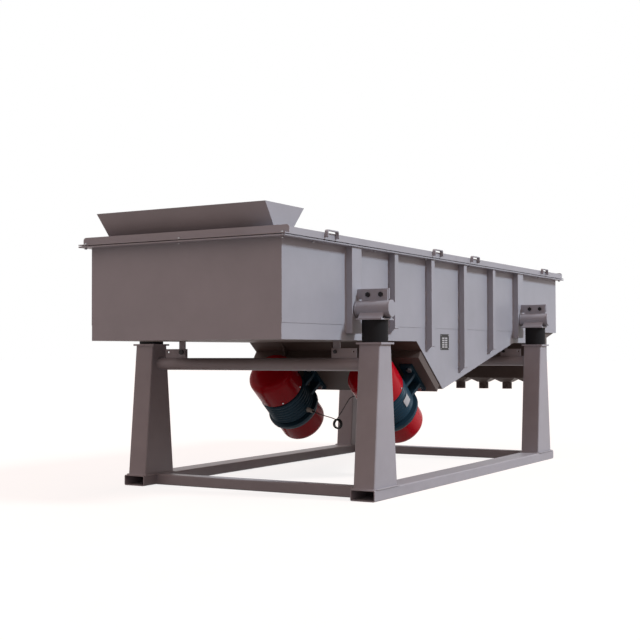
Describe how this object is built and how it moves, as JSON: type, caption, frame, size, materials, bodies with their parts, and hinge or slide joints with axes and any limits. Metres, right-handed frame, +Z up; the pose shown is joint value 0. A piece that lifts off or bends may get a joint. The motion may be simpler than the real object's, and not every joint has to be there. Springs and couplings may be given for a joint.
{
  "type": "vibrating sieve",
  "caption": "Linear vibrating sieve: closed screen box on rubber springs over a welded frame, with feed hopper, lids, collector spouts and inclined vibration motors.",
  "frame": {"origin": "on the floor, under the middle of the screen box", "axes": "+X from the feed end to the discharge end, +Y to the left, +Z up"},
  "size_m": [4.18, 1.7, 1.508],
  "materials": {
    "frame_paint": "light grey paint",
    "box_paint": "light grey paint",
    "lid_paint": "light grey paint",
    "spring_rubber": "moulded rubber",
    "gasket_rubber": "rubber strip",
    "zinc_fasteners": "zinc plated",
    "screen_steel": "woven stainless wire",
    "clamp_steel": "rolled flat bar",
    "motor_paint": "dark teal enamel on cast iron",
    "cap_red_paint": "red enamel on drawn steel",
    "stator_iron": "laminated iron",
    "bearing_steel": "ground steel",
    "shaft_steel": "turned steel",
    "weight_iron": "bare cast iron",
    "gland_plastic": "black moulded",
    "cable_rubber": "rubber sheath"
  },
  "bodies": {
    "base_frame": {"base_tube_left": "frame_paint", "base_tube_right": "frame_paint", "base_cross_tube_feed": "frame_paint", "base_cross_tube_discharge": "frame_paint", "leg_feed_left": "frame_paint", "leg_feed_right": "frame_paint", "leg_discharge_left": "frame_paint", "leg_discharge_right": "frame_paint", "crossbar_feed": "frame_paint", "crossbar_discharge": "frame_paint", "travel_stop_bolts": "zinc_fasteners", "rubber_springs_feed": "spring_rubber", "rubber_springs_discharge": "spring_rubber"},
    "screen_box": {"side_plate_left": "box_paint", "side_plate_right": "box_paint", "feed_end_wall": "box_paint", "discharge_end_wall": "box_paint", "belly_plate": "box_paint", "fines_pan": "box_paint", "deck_bearer_tubes": "box_paint", "deck_frame": "box_paint", "screen_cloth": "screen_steel", "screen_clamp_bars": "clamp_steel", "side_ribs_left": "box_paint", "side_ribs_right": "box_paint", "spring_brackets_left": "box_paint", "spring_brackets_right": "box_paint", "top_rim": "box_paint", "rim_gasket": "gasket_rubber", "motor_mount": "box_paint", "fines_collector": "box_paint", "collector_spouts": "box_paint", "travel_stop_straps": "box_paint", "spring_seats_feed": "box_paint", "spring_seats_discharge": "box_paint", "seat_bolts": "zinc_fasteners", "motor_housings": "motor_paint", "motor_caps_upper": "cap_red_paint", "motor_caps_lower": "cap_red_paint", "motor_stators": "stator_iron", "motor_bearings": "bearing_steel", "motor_glands": "gland_plastic", "motor_foot_bolts": "zinc_fasteners", "motor_cable_left": "cable_rubber", "motor_cable_coil": "cable_rubber", "motor_cable_right": "cable_rubber"},
    "rotor_left": {"rotor_shaft_left": "shaft_steel", "eccentric_weights_left": "weight_iron"},
    "rotor_right": {"rotor_shaft_right": "shaft_steel", "eccentric_weights_right": "weight_iron"},
    "feed_lid": {"feed_lid": "lid_paint", "feed_hopper": "lid_paint", "feed_lid_handles": "lid_paint"},
    "discharge_lid": {"discharge_lid": "lid_paint", "discharge_lid_handles": "lid_paint"}
  },
  "joints": [
    {"name": "throw", "type": "slide", "parent": "base_frame", "child": "screen_box", "axis": [0.6186, 0, 0.7857], "range_m": [-0.005, 0.005], "stiffness_N_per_m": 821000, "springref_m": 0.01593, "deforming": ["rubber_springs_feed", "rubber_springs_discharge"]},
    {"name": "rotor_left_spin", "type": "hinge", "parent": "screen_box", "child": "rotor_left", "pos_m": [-0.44628, 0.355, 0.48025], "axis": [0.7857, 0, -0.6186], "continuous": true},
    {"name": "rotor_right_spin", "type": "hinge", "parent": "screen_box", "child": "rotor_right", "pos_m": [-0.44628, -0.355, 0.48025], "axis": [0.7857, 0, -0.6186], "continuous": true},
    {"name": "feed_lid_lift", "type": "slide", "parent": "screen_box", "child": "feed_lid", "axis": [0, 0, 1], "range_m": [0, 0.3]},
    {"name": "discharge_lid_lift", "type": "slide", "parent": "screen_box", "child": "discharge_lid", "axis": [0, 0, 1], "range_m": [0, 0.3]}
  ],
  "couplings": [
    {"joint": "rotor_right_spin", "follows": "rotor_left_spin", "ratio": -1}
  ]
}
